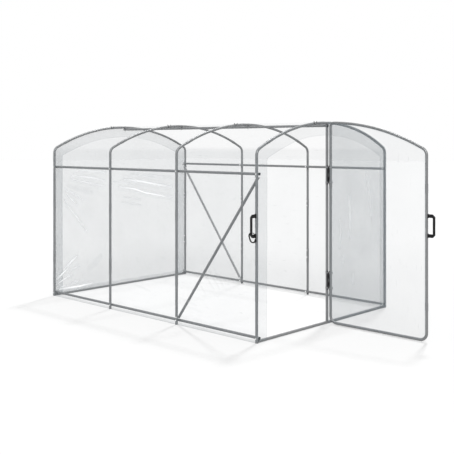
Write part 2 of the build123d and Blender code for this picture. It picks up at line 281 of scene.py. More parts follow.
def lathe(bm, profile, origin, axis, segments=20):
    """Turns (radius, height) steps round an axis through origin."""
    turn = Vector((0, 0, 1)).rotation_difference(Vector(axis)).to_matrix().to_4x4()
    place = Matrix.Translation(Vector(origin)) @ turn
    rings = []
    for radius, height in profile:
        if radius < 1e-6:
            rings.append([bm.verts.new(place @ Vector((0, 0, height)))])
            continue
        rings.append([
            bm.verts.new(place @ Vector((radius * cos(a), radius * sin(a), height)))
            for a in (2 * pi * i / segments for i in range(segments))])
    for low, high in zip(rings, rings[1:]):
        for i in range(segments):
            j = (i + 1) % segments
            around = ((low, i), (low, j), (high, j), (high, i))
            corners = list(dict.fromkeys(ring[k % len(ring)] for ring, k in around))
            if len(corners) > 2:
                bm.faces.new(corners)


def sweep(bm, points, radii, sides=12):
    """A closed round bar along points, with its own radius at each."""
    rings = []
    tangent = (points[1] - points[0]).normalized()
    across = tangent.orthogonal().normalized()
    for i, point in enumerate(points):
        ahead = points[min(i + 1, len(points) - 1)]
        behind = points[max(i - 1, 0)]
        tangent = (ahead - behind).normalized()
        across = (across - tangent * across.dot(tangent)).normalized()
        other = tangent.cross(across)
        rings.append([
            bm.verts.new(point + (across * cos(a) + other * sin(a)) * radii[i])
            for a in (2 * pi * k / sides for k in range(sides))])
    skin(bm, rings)
    bm.faces.new(list(reversed(rings[0])))
    bm.faces.new(rings[-1])


# === Node trees
def feed(tree, entry, value):
    """Sets an input to a plain value, or links it to the socket that feeds it."""
    if isinstance(value, bpy.types.NodeSocket):
        tree.links.new(value, entry)
    else:
        entry.default_value = value


def node(tree, kind, inputs=(), **settings):
    """Adds a node with its settings, and its inputs by name or number."""
    made = tree.nodes.new(kind)
    for name, value in settings.items():
        setattr(made, name, value)
    for entry, value in dict(inputs).items():
        feed(tree, made.inputs[entry], value)
    return made


def blank_tree(owner):
    """The emptied node tree of a material or a world."""
    owner.use_nodes = True
    owner.node_tree.nodes.clear()
    return owner.node_tree


def object_place(tree):
    return node(tree, "ShaderNodeTexCoord").outputs["Object"]


def noise_of(tree, place, scale, detail=4.0, roughness=0.55):
    return node(tree, "ShaderNodeTexNoise", {
        "Vector": place, "Scale": scale, "Detail": detail, "Roughness": roughness,
    }).outputs["Fac"]


def ranged(tree, value, low, high, new_low, new_high):
    return node(tree, "ShaderNodeMapRange", {
        "Value": value, "From Min": low, "From Max": high, "To Min": new_low, "To Max": new_high,
    }).outputs["Result"]


def maths(tree, operation, first, second, clamp=False):
    return node(tree, "ShaderNodeMath", {0: first, 1: second},
                operation=operation, use_clamp=clamp).outputs[0]


def shade_mix(tree, factor, *colours):
    made = node(tree, "ShaderNodeMix", {"Factor": factor}, data_type="RGBA")
    for entry, colour in zip("AB", colours):
        socket = [s for s in made.inputs if s.name == entry and s.type == "RGBA"][0]
        feed(tree, socket, (*colour, 1))
    return [s for s in made.outputs if s.type == "RGBA"][0]


def bumped(tree, height, strength, distance):
    return node(tree, "ShaderNodeBump", {
        "Strength": strength, "Distance": distance, "Height": height}).outputs["Normal"]


def principled(tree, inputs):
    shader = node(tree, "ShaderNodeBsdfPrincipled", inputs)
    node(tree, "ShaderNodeOutputMaterial", {"Surface": shader.outputs["BSDF"]})


# === Finishes
def zinc_finish(name, colour, metallic, spangle, roughness=(0.34, 0.52)):
    """Galvanised steel: zinc crystals, dull patches and a faint drawn grain."""
    tree = blank_tree(bpy.data.materials.new(name))
    place = object_place(tree)
    cells = node(tree, "ShaderNodeTexVoronoi", {"Scale": 1 / spangle, "Vector": place},
                 feature="F1")
    crystal = node(tree, "ShaderNodeSeparateColor", {0: cells.outputs["Color"]}).outputs[0]
    patches = noise_of(tree, place, 7.0, 5.0, 0.6)
    grain = noise_of(tree, place, 420.0, 2.0)
    tone = maths(tree, "ADD", maths(tree, "MULTIPLY", crystal, 0.4),
                 maths(tree, "MULTIPLY", patches, 0.6))
    dark, light = ([min(1.0, c * share) for c in colour] for share in (0.8, 1.14))
    principled(tree, {
        "Base Color": shade_mix(tree, tone, dark, light),
        "Metallic": metallic,
        "Roughness": ranged(tree, patches, 0.3, 0.7, *roughness),
        "Normal": bumped(tree, grain, 0.12, 0.0004),
    })


def black_finish(name, colour=(0.004, 0.004, 0.0045), wear=(0.02, 0.02, 0.021)):
    """Black powder coat with a fine orange peel and a few scuffs."""
    tree = blank_tree(bpy.data.materials.new(name))
    place = object_place(tree)
    scuffs = noise_of(tree, place, 60.0, 6.0, 0.7)
    peel = noise_of(tree, place, 900.0, 2.0)
    rubbed = ranged(tree, scuffs, 0.58, 0.72, 0.0, 1.0)
    principled(tree, {
        "Base Color": shade_mix(tree, rubbed, colour, wear),
        "Specular IOR Level": 0.22,
        "Roughness": ranged(tree, scuffs, 0.3, 0.7, 0.3, 0.46),
        "Normal": bumped(tree, peel, 0.15, 0.0003),
    })


def film_finish(name, settings):
    """Clear polythene: faint milky haze, painted glint streaks, and a painted highlight where a
    fold catches light, with painted shade beside it.
    """
    tree = blank_tree(bpy.data.materials.new(name))
    flat = node(tree, "ShaderNodeUVMap", uv_map="flat").outputs["UV"]
    layers, fold_light_and_shade = (node(tree, "ShaderNodeAttribute", attribute_name=label).outputs["Fac"]
                      for label in ("layers", "fold_light_and_shade"))
    drawn = node(tree, "ShaderNodeMapping", {
        "Vector": flat, "Scale": (1.0, 0.22, 1.0), "Rotation": (0, 0, radians(12)),
    }).outputs["Vector"]
    haze = noise_of(tree, flat, 2.6, 3.0, 0.5)
    # Painted glints: drawn streaks of white that stand in for light caught on the film
    painted_glint_streaks = noise_of(tree, drawn, 38.0, 5.0, 0.6)
    ripples = noise_of(tree, drawn, 16.0, 3.0, 0.5)
    glint = ranged(tree, painted_glint_streaks, 0.62, 0.78, 0.0, 0.25)
    # Painted highlight on each fold ridge, where the fold attribute is above 0, joined by the
    # painted glints
    lit = maths(tree, "MAXIMUM", fold_light_and_shade, 0.0, clamp=True)
    painted_highlight = maths(tree, "MAXIMUM", lit, glint, clamp=True)
    # Painted shade beside each fold: more veil where the fold attribute is below 0
    shaded = maths(tree, "MAXIMUM", maths(tree, "MULTIPLY", fold_light_and_shade, -1.0), 0.0, clamp=True)
    veil = maths(tree, "MULTIPLY", layers, settings.opacity)
    cloud = maths(tree, "ADD", maths(tree, "MULTIPLY", haze, 0.5), 0.75)
    veil = maths(tree, "MULTIPLY", veil, cloud)
    veil = maths(tree, "ADD", veil, maths(tree, "MULTIPLY", shaded, 0.3))
    # Where the painted highlight lies, the film turns more opaque, near white and glowing, though
    # it is no lamp
    lift = maths(tree, "MULTIPLY", painted_highlight, 0.75)
    principled(tree, {
        "Base Color": shade_mix(tree, painted_highlight, settings.colour, settings.fold_highlight_colour),
        "Emission Color": (1, 1, 1, 1),
        "Emission Strength": maths(tree, "MULTIPLY", painted_highlight, settings.fold_highlight_glow),
        "Alpha": maths(tree, "ADD", veil, lift, clamp=True),
        "Roughness": 0.34,
        "Specular IOR Level": 0.35,
        "IOR": 1.5,
        "Normal": bumped(tree, ripples, 0.35, 0.004),
    })


def finishes():
    """The finishes, made once and then found by name."""
    scene = bpy.context.scene
    tubes, film = scene.greenhouse_tubes, scene.greenhouse_film
    makers = {
        "galvanised_tube": lambda n: zinc_finish(n, tubes.colour, tubes.metallic, tubes.spangle),
        "bright_zinc": lambda n: zinc_finish(n, (0.52, 0.525, 0.53), 0.75, 0.003, (0.25, 0.4)),
        "dull_zinc_plate": lambda n: zinc_finish(n, (0.24, 0.243, 0.25), 0.5, 0.004, (0.38, 0.55)),
        "black_coat": black_finish,
        "dark_zinc": lambda n: zinc_finish(n, (0.035, 0.036, 0.038), 0.3, 0.003, (0.35, 0.5)),
        "clear_film": lambda n: film_finish(n, film),
    }
    for name, maker in makers.items():
        if name not in bpy.data.materials:
            maker(name)
    return bpy.data.materials


# === Film sheets
def film_sheet(name, points, flat, layers, fold_light_and_shade, flip=False, keep=None):
    """A sheet of film over a grid of points, with its flat sizes and the painted highlight and
    shade of its folds.
    """
    rows, columns = points.shape[:2]
    index = np.arange(rows * columns).reshape(rows, columns)
    faces = np.stack([index[:-1, :-1], index[1:, :-1], index[1:, 1:], index[:-1, 1:]], -1)
    if flip:
        faces = faces[..., ::-1]
    faces = faces[keep] if keep is not None else faces.reshape(-1, 4)
    mesh = bpy.data.meshes.new(name)
    mesh.from_pydata(points.reshape(-1, 3).tolist(), [], faces.reshape(-1, 4).tolist())
    loops = np.zeros(len(mesh.loops), np.int32)
    mesh.loops.foreach_get("vertex_index", loops)
    uv = flat.reshape(-1, 2)[loops].astype(np.float32)
    mesh.uv_layers.new(name="flat").data.foreach_set("uv", uv.ravel())
    for attribute, values in (("layers", layers), ("fold_light_and_shade", fold_light_and_shade)):
        made = mesh.attributes.new(attribute, "FLOAT", "POINT")
        made.data.foreach_set("value", np.asarray(values, np.float32).ravel())
    if keep is not None:
        bm = bmesh.new()
        bm.from_mesh(mesh)
        loose = [v for v in bm.verts if not v.link_faces]
        bmesh.ops.delete(bm, geom=loose, context="VERTS")
        bm.to_mesh(mesh)
        bm.free()
    piece = add_object(name, mesh)
    dress(piece, finishes()["clear_film"], 60)
    return piece


def rolling(points, scale, seed, stretch=(1.0, 1.0)):
    """Soft noise from -1 to 1 over a grid of flat positions."""
    u, v = points[..., 0] * scale * stretch[0], points[..., 1] * scale * stretch[1]
    values = [noise.noise(Vector((a, b, seed * 7.3))) for a, b in zip(u.ravel(), v.ravel())]
    return np.array(values).reshape(u.shape)


def fold_ridges_and_painted_light(across, up, folds):
    """Along each fold, a ridge above 0 that also carries a painted highlight, with painted shade
    below 0 in a band either side.
    """
    light = np.zeros(across.shape)
    shade = np.zeros(across.shape)
    for width, strength, *path in folds:
        lengths = [hypot(b[0] - a[0], b[1] - a[1]) for a, b in zip(path, path[1:])]
        for k, (start, end) in enumerate(zip(path, path[1:])):
            run = (end[0] - start[0], end[1] - start[1])
            share = ((across - start[0]) * run[0] + (up - start[1]) * run[1]) / lengths[k] ** 2
            inside = np.clip(share, 0, 1)
            gap = np.hypot(across - start[0] - inside * run[0], up - start[1] - inside * run[1])
            place = (sum(lengths[:k]) + inside * lengths[k]) / sum(lengths)
            taper = 0.35 + 0.65 * np.sin(pi * np.clip(place, 0.08, 0.92)) ** 0.5
            light = np.maximum(light, strength * taper * np.exp(-(gap / width) ** 2))
            side = np.exp(-((gap - 2.1 * width) / width) ** 2)
            shade = np.maximum(shade, 0.2 * strength * taper * side)
    return np.where(light > shade, light, -shade)


# From a hoop's centre line to the film of an end panel
PANEL_STAND_OFF = 0.0141

# Folds in the back film, each a ridge with a painted highlight and painted shade, as (width,
# strength, points across and up from the near foot)
BACK_FOLDS = (
    (0.011, 0.85, (0.03, 0.17), (0.19, 0.28)),
    (0.011, 0.80, (0.14, 0.28), (0.31, 0.41)),
    (0.011, 0.80, (0.04, 0.12), (0.24, 0.21)),
    (0.011, 0.60, (0.22, 0.25), (0.34, 0.29)),
    (0.011, 0.65, (0.08, 0.08), (0.17, 0.09)),
    (0.014, 1.00, (0.08, 0.06), (0.36, 0.06), (0.52, 0.07)),
    (0.011, 0.60, (0.24, 0.11), (0.35, 0.13)),
    (0.040, 0.22, (0.49, 0.25), (0.64, 0.36)),
    (0.011, 0.70, (0.15, 1.18), (0.31, 1.10), (0.39, 1.05)),
    (0.011, 0.70, (0.17, 1.12), (0.31, 1.00)),
    (0.011, 0.65, (0.14, 1.05), (0.28, 0.89), (0.44, 0.69)),
    (0.011, 0.70, (0.31, 1.39), (0.73, 1.36)),
    (0.011, 0.75, (0.25, 1.33), (0.51, 1.30), (0.70, 1.26)),
    (0.011, 0.70, (0.25, 1.29), (0.42, 1.25), (0.70, 1.19)),
    (0.034, 0.26, (0.20, 1.21), (0.51, 1.13)),
    (0.022, 0.40, (1.12, 1.32), (1.78, 1.26)),
    (0.020, 0.80, (1.00, 1.26), (1.26, 1.23), (1.59, 1.17), (1.78, 1.14)),
    (0.011, 0.65, (0.83, 1.24), (0.92, 1.23), (1.12, 1.20)),
    (0.014, 0.90, (0.94, 1.17), (1.17, 1.14), (1.32, 1.09), (1.58, 1.04), (1.78, 1.01)),
    (0.011, 0.40, (1.00, 1.05), (1.26, 1.01)),
    (0.011, 0.35, (0.97, 0.99), (1.26, 0.94)),
)

# Painted folds in the fixed half of the front: only a painted highlight and painted shade, the
# film stays flat along them
FRONT_PAINTED_FOLDS = (
    (0.014, 0.45, (1.35, 1.19), (1.36, 1.00), (1.35, 0.79)),
    (0.011, 0.40, (1.19, 0.96), (1.20, 0.84), (1.18, 0.70)),
    (0.011, 0.35, (1.24, 0.62), (1.235, 0.545)),
    (0.011, 0.40, (1.41, 0.42), (1.405, 0.33)),
    (0.015, 0.30, (1.62, 1.45), (1.70, 1.20), (1.74, 0.90)),
)

# Faint folds in the near wall of the first bay, each a ridge with a painted highlight and painted
# shade, as distances from the front hoop and up
WALL_FOLDS = (
    (0.014, 0.16, (0.62, 0.52), (0.50, 0.40)),
    (0.014, 0.18, (0.56, 0.56), (0.43, 0.41)),
    (0.014, 0.14, (0.50, 0.58), (0.38, 0.44)),
    (0.014, 0.12, (0.70, 0.44), (0.60, 0.34)),
    (0.014, 0.14, (0.95, 0.26), (0.72, 0.22)),
    (0.014, 0.12, (0.92, 0.20), (0.66, 0.17)),
    (0.014, 0.12, (1.60, 0.30), (1.36, 0.27)),
)


class GREENHOUSE_OT_tubes(Operator):
    """Give every tube its galvanised finish"""
    bl_idname = "greenhouse.tubes"
    bl_label = "Galvanise Tubes"

    def execute(self, context):
        for name, piece in frame["nodes"].items():
            finish = "galvanised_tube"
            if name.endswith("_hinge_door_half"):
                finish = "black_coat"
            elif name.endswith("_hinge_post_half"):
                finish = "dark_zinc"
            elif name.endswith("_handle") or name == "snap_hook":
                finish = "black_coat"
            if not piece.material_slots:
                piece.data.materials.append(None)
            for place in piece.material_slots:
                place.material = finishes()[finish]
        return {"FINISHED"}


class GREENHOUSE_OT_cover(Operator):
    """Stretch the film cover over the hoops"""
    bl_idname = "greenhouse.cover"
    bl_label = "Stretch Cover"

    def execute(self, context):
        film = context.scene.greenhouse_film
        line = HoopLine(context.scene.greenhouse_hoops)
        along = steps(film.hem_height, line.length - film.hem_height, film.grid)
        lengthways = steps(hoop_x[0], hoop_x[-1], film.grid)
        profile = [line.at(s) for s in along]
        centre = np.array([point for point, _ in profile])
        normal = np.array([facing for _, facing in profile])
        flat = np.stack(np.meshgrid(along, hoop_x[0] - lengthways, indexing="ij"), -1)
        spacing = hoop_x[0] - hoop_x[1]
        bay = np.sin(pi * ((hoop_x[0] - lengthways) / spacing % 1.0))
        slack = np.clip(bay, 0, 1)[None, :]
        upward = np.clip(normal[:, 1], 0, 1)[:, None]
        dip = film.sag * (0.35 + 0.65 * upward) * slack ** 0.8
        waves = rolling(flat, 3.1, 1, (0.5, 2.2)) * film.ripple * 1.6
        waves += rolling(flat, 9.0, 2, (0.35, 1.6)) * film.ripple * 0.55
        ends = np.minimum(along, line.length - along)[:, None]
        waves += rolling(flat, 6.0, 3, (0.1, 2.5)) * 0.003 * np.exp(-ends / 0.18)
        ridges_and_painted_fold_light = fold_ridges_and_painted_light(flat[..., 1], flat[..., 0], WALL_FOLDS)
        out = film.stand_off - dip + np.minimum(waves, 0.4 * dip + 0.0002) * slack ** 0.5
        out += np.maximum(ridges_and_painted_fold_light, 0) * 0.004
        points = np.zeros((len(along), len(lengthways), 3))
        points[..., 0] = lengthways[None, :]
        points[..., 1] = centre[:, 0, None] + normal[:, 0, None] * out
        points[..., 2] = np.maximum(centre[:, 1, None] + normal[:, 1, None] * out, 0.002)
        # Painted light on the roof: its veil is cut to 0.35 of a layer so that the roof reads
        # lighter
        roof_painted_light = smooth(normal[:, 1], 0.25, 0.8)[:, None]
        hem = np.exp(-(ends / 0.022) ** 4)
        layers = 1.0 - 0.65 * roof_painted_light + 0.9 * hem + np.zeros((1, len(lengthways)))
        piece = film_sheet("film_cover", points, flat, layers, ridges_and_painted_fold_light)
        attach(piece, FRAME_BODY)
        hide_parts("roof_film", "near_side_film", "far_side_film")
        return {"FINISHED"}


def make_flap(name, hoop, outward, folds, wave_seed, haze):
    """The cover's edge, turned round an end hoop and laid flat inside it."""
    film = bpy.context.scene.greenhouse_film
    line = HoopLine(bpy.context.scene.greenhouse_hoops)
    along = steps(film.hem_height, line.length - film.hem_height, film.fine_grid)
    round_steps = 5
    inward = steps(0.0, film.flap_width, film.fine_grid)[1:]
    rows = []
    flat = []
    for s in along:
        (y, z), (ny, nz) = line.at(s)
        row = []
        for i in range(round_steps + 1):
            angle = pi / 2 * i / round_steps
            reach = film.stand_off * cos(angle)
            row.append((hoop + outward * film.stand_off * sin(angle),
                        y + ny * reach, z + nz * reach))
        edge = 0.006 * noise.noise(Vector((s * 2.4, wave_seed, 0.0)))
        for depth in inward:
            share = depth / film.flap_width
            py, pz = line.flap(s, depth + edge * share)
            wave = abs(noise.noise(Vector((s * 9, depth * 6, wave_seed))))
            lift = 0.0009 * share + 0.0012 * share * wave
            row.append((hoop + outward * (film.stand_off + lift), py, pz))
        rows.append(row)
        arc = [film.stand_off * pi / 2 * i / round_steps for i in range(round_steps + 1)]
        arc += [arc[-1] + depth for depth in inward]
        flat.append([(s, d) for d in arc])
    points, flat = np.array(rows), np.array(flat)
    ridges_and_painted_fold_light = fold_ridges_and_painted_light(points[..., 1], points[..., 2], folds)
    points[..., 0] += outward * 0.002 * np.maximum(ridges_and_painted_fold_light, 0)
    points[..., 2] = np.maximum(points[..., 2], 0.002)
    edge = flat[..., 1] / flat[..., 1].max()
    # Painted light overhead: the flap's veil is thinned to 0.85 of a layer high up so that it
    # reads lighter
    overhead_painted_light = smooth(points[..., 2], 1.45, 1.75)
    layers = haze - (haze - 0.85) * overhead_painted_light + 0.5 * smooth(edge, 0.9, 1.0)
    piece = film_sheet(name, points, flat, layers, ridges_and_painted_fold_light, flip=outward > 0)
    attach(piece, FRAME_BODY)


class GREENHOUSE_OT_flaps(Operator):
    """Fold the cover's edges round the end hoops"""
    bl_idname = "greenhouse.flaps"
    bl_label = "Fold Flaps"

    def execute(self, context):
        make_flap("film_front_flap", hoop_x[0], 1, (), 3.0, 1.5)
        make_flap("film_back_flap", hoop_x[-1], -1, BACK_FOLDS, 5.0, 2.2)
        return {"FINISHED"}


def panel_grid(across, bottom, top, straight_top, spacing, levels=()):
    """Heights for a flat panel: level rows up to straight_top, then rows that follow its top."""
    low = set(np.round(steps(min(bottom), straight_top, spacing), 5)) | set(levels)
    low = np.array(sorted(low))
    high_rows = max(3, round((max(top) - straight_top) / spacing) + 1)
    share = np.linspace(0, 1, high_rows)[1:]
    heights = np.zeros((len(low) + len(share), len(across)))
    for j in range(len(across)):
        column = np.maximum(low, bottom[j])
        heights[:, j] = np.concatenate(
            [column, straight_top + share * (top[j] - straight_top)])
    return heights


class FlatPanel:
    """A flat sheet of film inside an end hoop, from low_y to the far legs."""

    def __init__(self, across, low_y, folds, slack_from, levels=()):
        scene = bpy.context.scene
        self.film = scene.greenhouse_film
        line = HoopLine(scene.greenhouse_hoops)
        self.across = across
        self.top = [line.top(y, socket_radius) for y in across]
        self.foot = [self.film.hem_height] * len(across)
        self.heights = panel_grid(across, self.foot, self.top, line.shoulder_z - 0.04,
                                  self.film.fine_grid, levels)
        self.y = np.broadcast_to(across, self.heights.shape)
        self.flat = np.stack([self.y, self.heights], -1)
        self.ridges_and_painted_fold_light = fold_ridges_and_painted_light(self.y, self.heights, folds)
        under_arch = np.array([line.top(a, 0.0) for a in across])[None, :] - self.heights
        border = np.minimum(np.minimum(self.y - low_y, far_y - self.y), under_arch)
        self.middle = smooth(border, *slack_from)

    def hang(self, name, x, layers, replaced, rests_on, **options):
        points = np.stack([x, self.y, self.heights], -1)
        piece = film_sheet(name, points, self.flat, layers, self.ridges_and_painted_fold_light, **options)
        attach(piece, FRAME_BODY)
        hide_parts(replaced)


class GREENHOUSE_OT_end_panels(Operator):
    """Fit the back film and the fixed half of the front"""
    bl_idname = "greenhouse.end_panels"
    bl_label = "Fit End Panels"

    def execute(self, context):
        grid = context.scene.greenhouse_film.fine_grid
        # Back
        across = steps(near_y - socket_radius, far_y + socket_radius, grid)
        back = FlatPanel(across, near_y, BACK_FOLDS, (0.04, 0.22))
        flat = back.flat
        bulge = rolling(flat, 1.7, 11) * 0.004 + rolling(flat, 6.5, 12, (0.5, 1.6)) * 0.0016
        x = hoop_x[-1] - PANEL_STAND_OFF - back.middle * np.maximum(bulge + 0.002, 0) \
            - np.maximum(back.ridges_and_painted_fold_light, 0) * 0.004 * back.middle
        wavy = back.heights + 0.012 * rolling(flat, 7.0, 14, (1.0, 0.0))
        layers = 1.25 + 1.3 * (1.0 - smooth(wavy, 0.045, 0.062))
        back.hang("film_back", x, layers, "back_film", ["back_hoop_bows", "back_sill"])
        # Fixed half of the front
        notch_edge = mid_y + 0.016
        hinges = [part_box(f"{which}_hinge_post_half") for which in ("lower", "upper")]
        notches = [(low.z - 0.006, high.z + 0.006) for low, high in hinges]
        across = np.concatenate([
            steps(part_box("front_film")[0].y, notch_edge, grid),
            steps(notch_edge, far_y + socket_radius, grid)[1:]])
        levels = [float(np.round(z, 5)) for notch in notches for z in notch]
        front = FlatPanel(across, mid_y, FRONT_PAINTED_FOLDS, (0.03, 0.2), levels)
        bulge = rolling(front.flat, 2.3, 21, (1.4, 0.7)) * 0.0016
        x = hoop_x[0] + PANEL_STAND_OFF - front.middle * np.maximum(bulge + 0.001, 0)
        layers = 2.0 + 0.8 * (1.0 - smooth(front.heights, 0.03, 0.045))
        centre = (front.heights[:-1, :-1] + front.heights[1:, 1:]) / 2
        beside = (front.y[:-1, :-1] + front.y[1:, 1:]) / 2 < notch_edge
        keep = np.ones(centre.shape, bool)
        for low, high in notches:
            keep &= ~(beside & (centre > low) & (centre < high))
        front.hang("film_front", x, layers, "front_film",
                   ["front_hoop_bows", "door_post", "front_sill"], flip=True, keep=keep)
        return {"FINISHED"}


class GREENHOUSE_OT_door_film(Operator):
    """Fit the film to the door leaf"""
    bl_idname = "greenhouse.door_film"
    bl_label = "Fit Door Film"

    def execute(self, context):
        film = context.scene.greenhouse_film
        hoops = context.scene.greenhouse_hoops
        arch_z = ridge_z - hoops.arch_radius
        start, width = leaf_low.x, leaf_high.x - leaf_low.x
        bar_z = leaf_low.z
        low_corner, top_corner, far_corner = 0.065, 0.035, hoops.shoulder_radius

        def leaf_top(reach):
            if reach < top_corner:
                turn = asin(top_corner / (hoops.arch_radius - top_corner))
                centre = arch_z + (hoops.arch_radius - top_corner) * cos(turn)
                return centre + sqrt(max(top_corner ** 2 - (top_corner - reach) ** 2, 0))
            turn = asin((width - far_corner) / (hoops.arch_radius - far_corner))
            if reach <= width - far_corner + far_corner * sin(turn):
                return arch_z + sqrt(hoops.arch_radius ** 2 - reach ** 2)
            centre = arch_z + (hoops.arch_radius - far_corner) * cos(turn)
            return centre + sqrt(max(far_corner ** 2 - (reach - width + far_corner) ** 2, 0))

        def leaf_bottom(reach):
            edge = min(reach, width - reach)
            if edge >= low_corner:
                return bar_z
            return bar_z + low_corner - sqrt(low_corner ** 2 - (low_corner - edge) ** 2)

        reach = steps(0, width, film.fine_grid)
        top = [leaf_top(r) for r in reach]
        foot = [leaf_bottom(r) for r in reach]
        heights = panel_grid(reach, foot, top, 1.54, film.fine_grid)
        across = np.broadcast_to(reach, heights.shape)
        flat = np.stack([across, heights], -1)
        border = np.minimum(np.minimum(across, width - across),
                            np.minimum(heights - bar_z, np.array(top)[None, :] - heights))
        middle = smooth(border, 0.02, 0.2)
        bulge = rolling(flat, 1.6, 31, (1.2, 0.8)) * 0.003 \
            + rolling(flat, 5.0, 32, (1.6, 0.5)) * 0.001
        points = np.zeros((*heights.shape, 3))
        points[..., 0] = start + across
        points[..., 1] = (leaf_low.y + leaf_high.y) / 2 - middle * np.clip(bulge, -0.0002, 0.004)
        points[..., 2] = heights
        ridges_and_painted_fold_light = np.zeros(heights.shape)
        hem = 1.0 - smooth(border, 0.018, 0.024)
        layers = 1.0 + 0.6 * hem
        piece = film_sheet("film_door", points, flat, layers, ridges_and_painted_fold_light, flip=True)
        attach(piece, DOOR_BODY)
        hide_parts("door_film")
        return {"FINISHED"}


# === Fasteners
JOINT_SCREW_HEIGHTS = (0.42, 0.50, 1.0, 1.05)
ARCH_SCREW_OFFSET = 0.835    # either side of the ridge
LEAF_SCREW_HEIGHTS = (0.3, 1.315)
WING_NUT_OFFSET = -0.202     # from the ridge towards the near side
WING_NUT_HUB = ((0, 0), (0.0085, 0), (0.0085, 0.0012), (0.0062, 0.0014), (0.0054, 0.0040),
                (0.0034, 0.0043), (0, 0.0045))
WING_NUT_EAR = ((0.0006, -0.0080), (0.0050, -0.0078), (0.0112, 0.0010), (0.0190, 0.0130),
                (0.0245, 0.0198), (0.0234, 0.0226), (0.0189, 0.0224), (0.0098, 0.0105),
                (0.0040, 0.0010), (0.0006, -0.0030))
BRACE_BOLT_INSET = 0.012     # from the end of a brace
BAND_HEIGHT = 0.014
BAND_INSET = 0.012           # from the end of a hinge plate
BAND_PROFILE = ((0, 0), (0.0022, 0), (0.0026, 0.0004), (0.0026, BAND_HEIGHT - 0.0004),
                (0.0022, BAND_HEIGHT), (0, BAND_HEIGHT), (0, 0))
BAND_BOLT = ((0, 0), (0.0052, 0), (0.0052, 0.0035), (0.003, 0.0045), (0, 0.0048))
HALF_BARREL = 0.05
PIN_CAP = ((0, 0), (0.0050, 0), (0.0050, 0.0240), (0.0042, 0.0262), (0.002, 0.0276), (0, 0.028))


def fastener_tree(name, shapes, material):
    """A node tree that sets shapes on each point, turned to its aim.

    Each shape is (label, sides, radius, height, offset along the bolt)."""
    tree = bpy.data.node_groups.new(name, "GeometryNodeTree")
    face = tree.interface
    face.new_socket("Geometry", in_out="INPUT", socket_type="NodeSocketGeometry")
    face.new_socket("Geometry", in_out="OUTPUT", socket_type="NodeSocketGeometry")
    inputs = {}
    for label, _, radius, height, offset in shapes:
        for part, value in (("radius", radius), ("height", height), ("offset", offset)):
            socket = face.new_socket(f"{label} {part}", in_out="INPUT",
                                     socket_type="NodeSocketFloat")
            inputs[f"{label} {part}"] = (socket.identifier, value)
    seed = face.new_socket("Seed", in_out="INPUT", socket_type="NodeSocketInt")
    given = node(tree, "NodeGroupInput").outputs
    gather = node(tree, "GeometryNodeJoinGeometry")
    for label, sides, *_ in shapes:
        drum = node(tree, "GeometryNodeMeshCylinder", {
            "Vertices": sides, "Radius": given[f"{label} radius"],
            "Depth": given[f"{label} height"]}, fill_type="NGON")
        offset = node(tree, "ShaderNodeCombineXYZ", {"Z": given[f"{label} offset"]})
        move = node(tree, "GeometryNodeTransform", {
            "Geometry": drum.outputs["Mesh"], "Translation": offset.outputs["Vector"]})
        tree.links.new(move.outputs["Geometry"], gather.inputs["Geometry"])
    aim = node(tree, "GeometryNodeInputNamedAttribute", {"Name": "aim"},
               data_type="FLOAT_VECTOR")
    align = node(tree, "FunctionNodeAlignRotationToVector",
                 {"Vector": aim.outputs["Attribute"]}, axis="Z")
    spin = node(tree, "FunctionNodeRandomValue",
                {2: 0.0, 3: 2 * pi, "Seed": given["Seed"]}, data_type="FLOAT")
    angle = node(tree, "FunctionNodeAxisAngleToRotation",
                 {"Axis": (0, 0, 1), "Angle": spin.outputs[1]})
    turn = node(tree, "FunctionNodeRotateRotation", {
        "Rotation": align.outputs["Rotation"],
        "Rotate By": angle.outputs["Rotation"]}, rotation_space="LOCAL")
    place = node(tree, "GeometryNodeInstanceOnPoints", {
        "Points": given["Geometry"], "Instance": gather.outputs["Geometry"],
        "Rotation": turn.outputs["Rotation"]})
    realise = node(tree, "GeometryNodeRealizeInstances",
                   {"Geometry": place.outputs["Instances"]})
    finish = node(tree, "GeometryNodeSetMaterial",
                  {"Geometry": realise.outputs["Geometry"], "Material": material})
    node(tree, "NodeGroupOutput", {"Geometry": finish.outputs["Geometry"]})
    return tree, inputs, seed.identifier


def scatter(name, spots, fasteners, seed, body):
    """Runs a fastener tree over spots and leaves a plain mesh that rides on body."""
    tree, inputs, seed_id = fasteners
    mesh = bpy.data.meshes.new(name + "_points")
    mesh.from_pydata([spot for spot, _ in spots], [], [])
    aim = mesh.attributes.new("aim", "FLOAT_VECTOR", "POINT")
    for i, (_, facing) in enumerate(spots):
        aim.data[i].vector = facing
    carrier = add_object(name + "_points", mesh)
    modifier = carrier.modifiers.new("Fasteners", "NODES")
    modifier.node_group = tree
    for identifier, value in inputs.values():
        modifier[identifier] = value
    modifier[seed_id] = seed
    bpy.context.view_layer.update()
    evaluated = carrier.evaluated_get(bpy.context.evaluated_depsgraph_get())
    made = bpy.data.meshes.new_from_object(evaluated)
    made.name = name
    bpy.data.objects.remove(carrier)
    piece = dress(add_object(name, made), made.materials[0])
    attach(piece, body)


def crossing_spots():
    """Where a bar crosses the inside of a hoop: outer face of the tube, and the way out."""
    purlin_z = (purlin_low.z + purlin_high.z) / 2
    base_z = (base_low.z + base_high.z) / 2
    spots = []
    for x in hoop_x:
        for y, out in ((near_y, -1), (far_y, 1)):
            for z in (purlin_z, base_z):
                spots.append(((x, y + out * tube_radius, z), (0, out, 0)))
    for name, y, out in (("near_brace", near_y, -1), ("far_brace", far_y, 1)):
        low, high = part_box(name)
        first, last = low.x + BRACE_BOLT_INSET, high.x - BRACE_BOLT_INSET
        foot, head = low.z + BRACE_BOLT_INSET, high.z - BRACE_BOLT_INSET
        ends = ((first, foot), (last, head)) if out < 0 else ((first, head), (last, foot))
        for x, z in ends:
            spots.append(((x, y + out * tube_radius, z), (0, out, 0)))
    return spots


